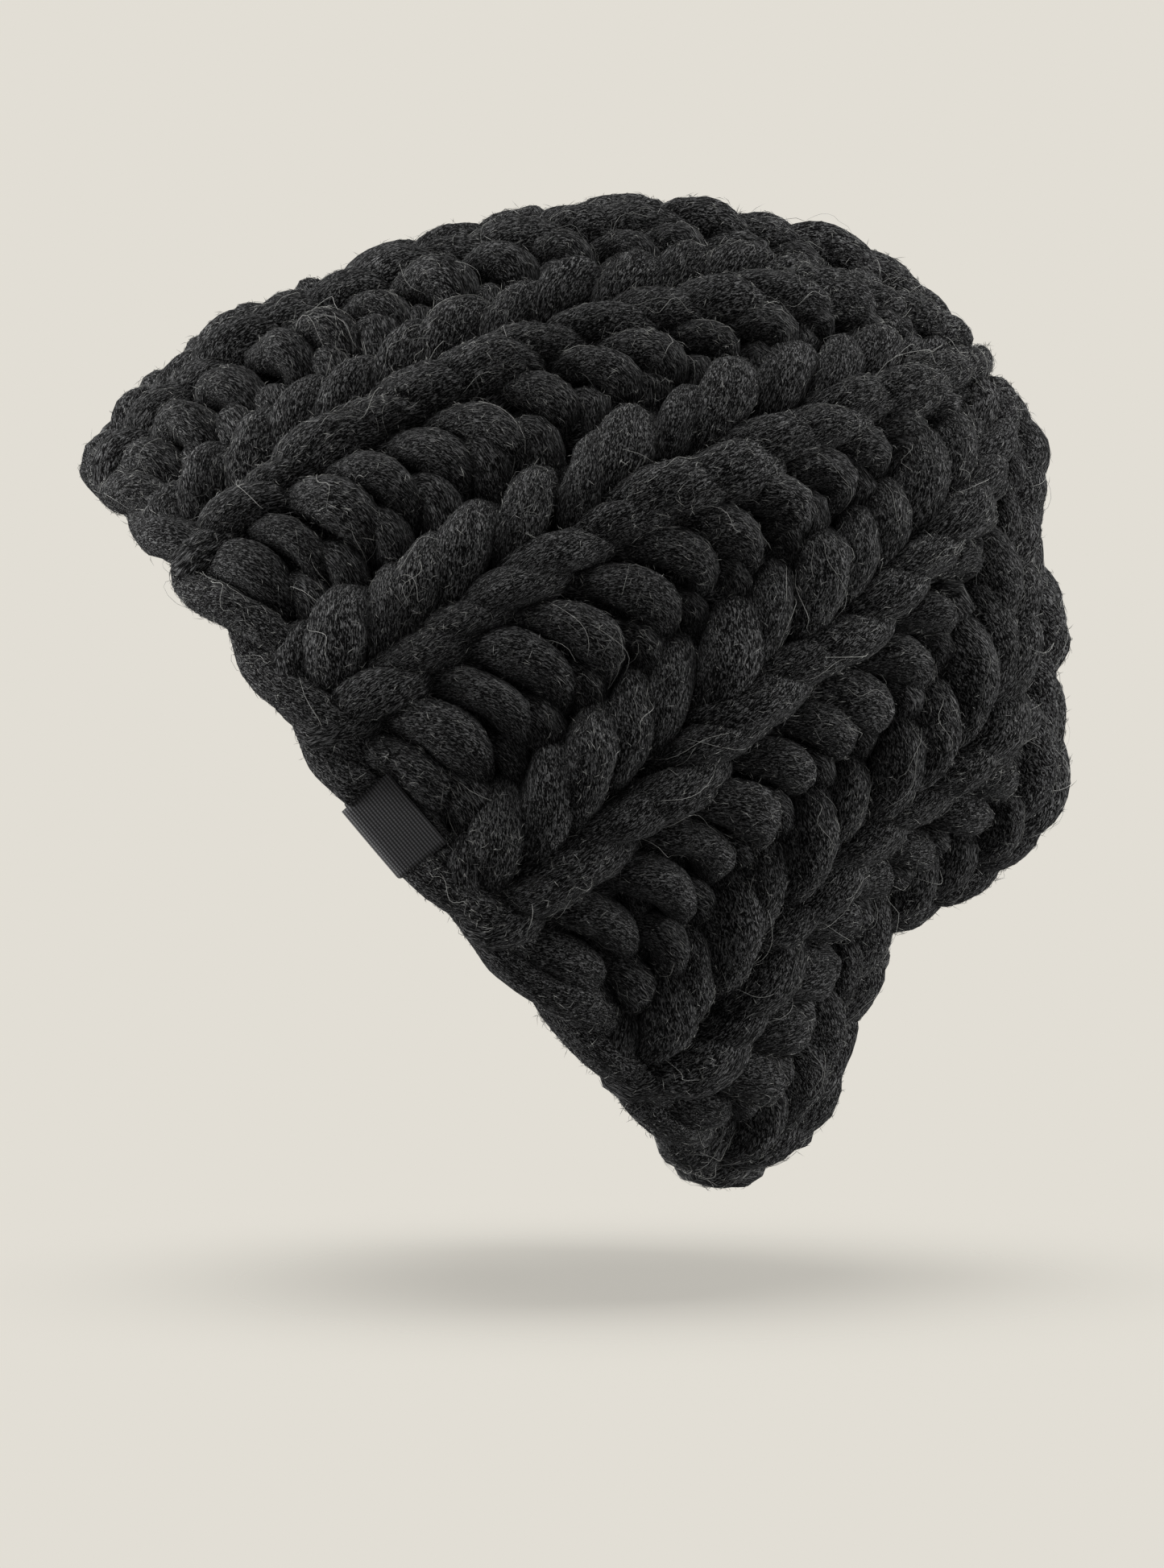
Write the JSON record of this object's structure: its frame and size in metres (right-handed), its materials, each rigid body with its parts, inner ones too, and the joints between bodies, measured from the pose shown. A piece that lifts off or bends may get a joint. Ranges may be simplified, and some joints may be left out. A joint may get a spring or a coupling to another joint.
{
  "type": "knit beanie",
  "caption": "Super-chunky rib-knit wool beanie with a roped brim edge, slouched dome, gathered crown and a folded woven label on the brim.",
  "frame": {"origin": "centre of the hat's plan box, on the plane that the brim stands on", "axes": "+Z from the brim to the crown, +X from the forehead to the nape, -Y to the side that wears the label"},
  "size_m": [0.249, 0.1984, 0.1917],
  "materials": {
    "wool": "fuzzy unspun wool roving, matte",
    "label": "fine woven polyester, matte"
  },
  "bodies": {
    "root": {"cast_on_edge": "wool", "rib_course_01": "wool", "rib_course_02": "wool", "rib_course_03": "wool", "rib_course_04": "wool", "rib_course_05": "wool", "rib_course_06": "wool", "rib_course_07": "wool", "rib_course_08": "wool", "rib_course_09": "wool", "rib_course_10": "wool", "rib_course_11": "wool", "rib_course_12": "wool", "rib_course_13": "wool", "rib_course_14": "wool", "crown_gather": "wool", "closing_yarn": "wool", "brim_label": "label"}
  },
  "joints": []
}
